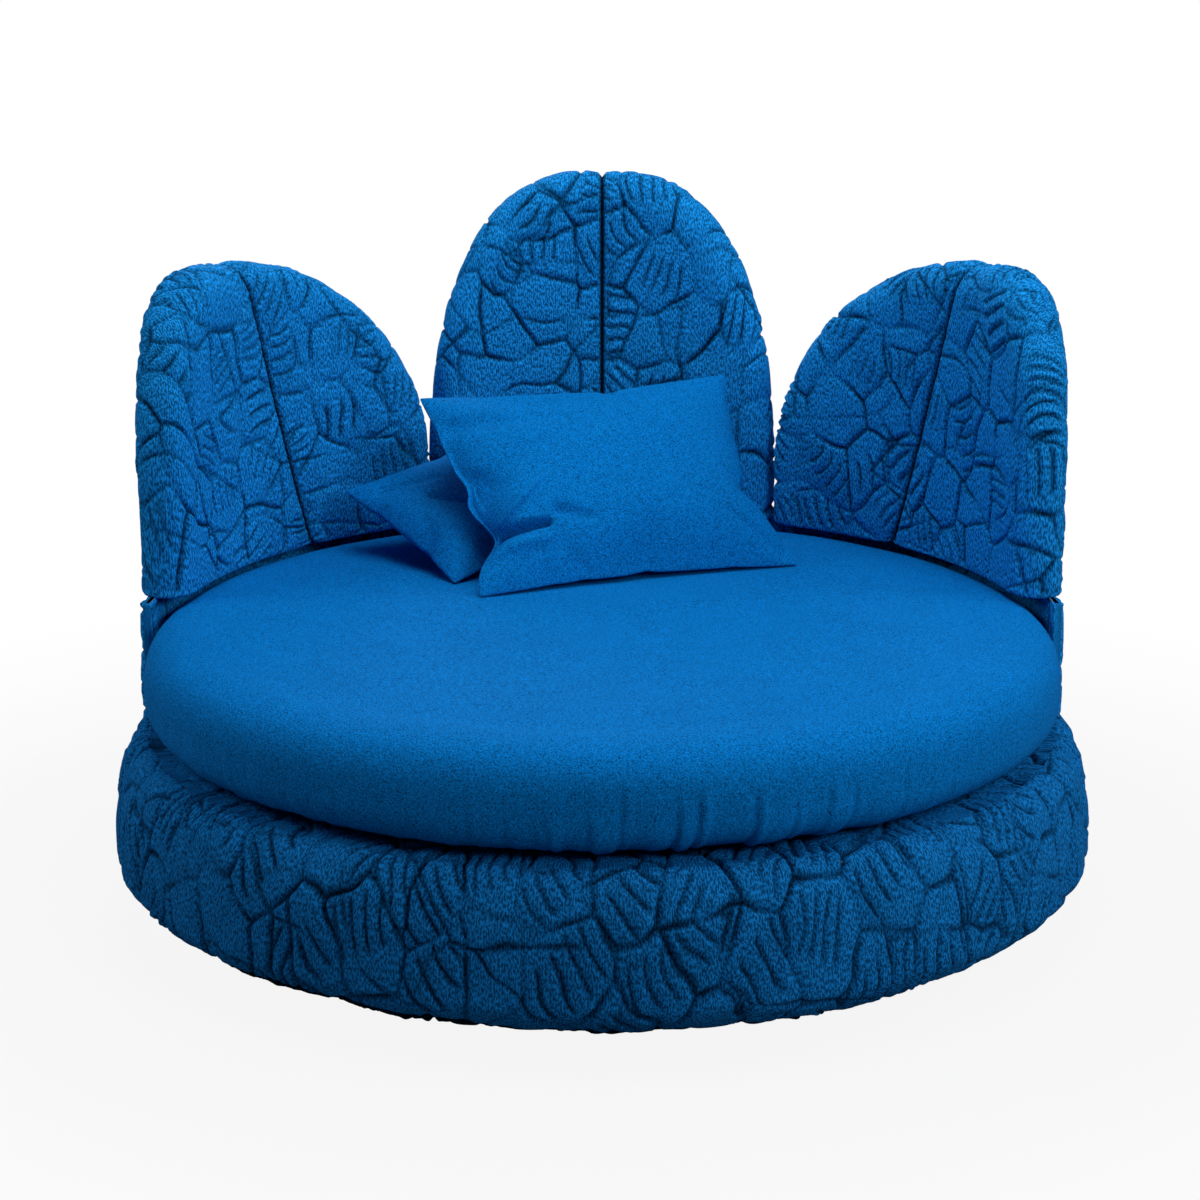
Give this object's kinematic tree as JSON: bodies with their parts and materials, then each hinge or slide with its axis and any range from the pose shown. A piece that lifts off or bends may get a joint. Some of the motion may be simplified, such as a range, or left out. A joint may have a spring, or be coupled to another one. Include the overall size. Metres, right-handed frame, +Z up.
{
  "type": "round outdoor daybed",
  "caption": "Round upholstered outdoor daybed: quilted drum base, thick round loose seat cushion, tall petal-shaped quilted backrests round the rear, scatter pillows.",
  "frame": {"origin": "centre of the round base on the floor", "axes": "+Z up, +X to the right seen from the front, -Y towards the front; the backrests stand on the +Y side"},
  "size_m": [1.72, 1.72, 1.193],
  "materials": {
    "black_plastic": "matt, fine grain",
    "steel": "zinc plated",
    "black_mesh": "open woven mesh",
    "plywood": "sanded and sealed",
    "foam": "open cell foam",
    "pillow_filling": "loose fibre",
    "smooth_cloth": "fine boucle",
    "quilted_cloth": "ribbed knit quilted in an irregular pattern",
    "zip_tape": "woven tape with moulded teeth",
    "zip_slider": "moulded"
  },
  "bodies": {
    "daybed": {"floor_glides": "black_plastic", "plinth_ring": "black_plastic", "plinth_screws": "steel", "base_dust_cloth": "black_mesh", "base_bottom_panel": "plywood", "centre_post": "plywood", "rib_1": "plywood", "rib_2": "plywood", "rib_3": "plywood", "rib_4": "plywood", "rib_5": "plywood", "rib_6": "plywood", "rib_7": "plywood", "rib_8": "plywood", "base_hoop": "plywood", "deck_panel": "plywood", "deck_screws": "steel", "base_foam_side": "foam", "base_foam_top": "foam", "base_cover": "quilted_cloth", "deck_cloth": "black_mesh", "shell_brackets": "steel", "bracket_bolts": "steel", "bracket_screws": "steel", "band_cover": "quilted_cloth", "left_shell": "plywood", "left_foam_front": "foam", "left_foam_rear": "foam", "left_cover": "quilted_cloth", "centre_shell": "plywood", "centre_foam_front": "foam", "centre_foam_rear": "foam", "centre_cover": "quilted_cloth", "right_shell": "plywood", "right_foam_front": "foam", "right_foam_rear": "foam", "right_cover": "quilted_cloth"},
    "seat": {"seat_foam": "foam", "seat_topper": "foam", "seat_cover": "smooth_cloth", "seat_mesh": "black_mesh", "seat_zip": "zip_tape"},
    "zip_slider": {"seat_zip_slider": "zip_slider"},
    "rear_pillow": {"rear_pillow_cover": "smooth_cloth", "rear_pillow_filling": "pillow_filling"},
    "front_pillow": {"front_pillow_cover": "smooth_cloth", "front_pillow_filling": "pillow_filling"}
  },
  "joints": [
    {"name": "seat_slide", "type": "slide", "parent": "daybed", "child": "seat", "axis": [0, -1, 0], "range_m": [0, 0.75]},
    {"name": "zip_slider_run", "type": "hinge", "parent": "seat", "child": "zip_slider", "pos_m": [0, 0, 0.3593], "axis": [0, 0, 1], "range_deg": [0, 120]},
    {"name": "rear_pillow_lift", "type": "slide", "parent": "seat", "child": "rear_pillow", "axis": [0, 0, 1], "range_m": [0, 0.6]},
    {"name": "front_pillow_lift", "type": "slide", "parent": "rear_pillow", "child": "front_pillow", "axis": [0, 0, 1], "range_m": [0, 0.5]}
  ]
}
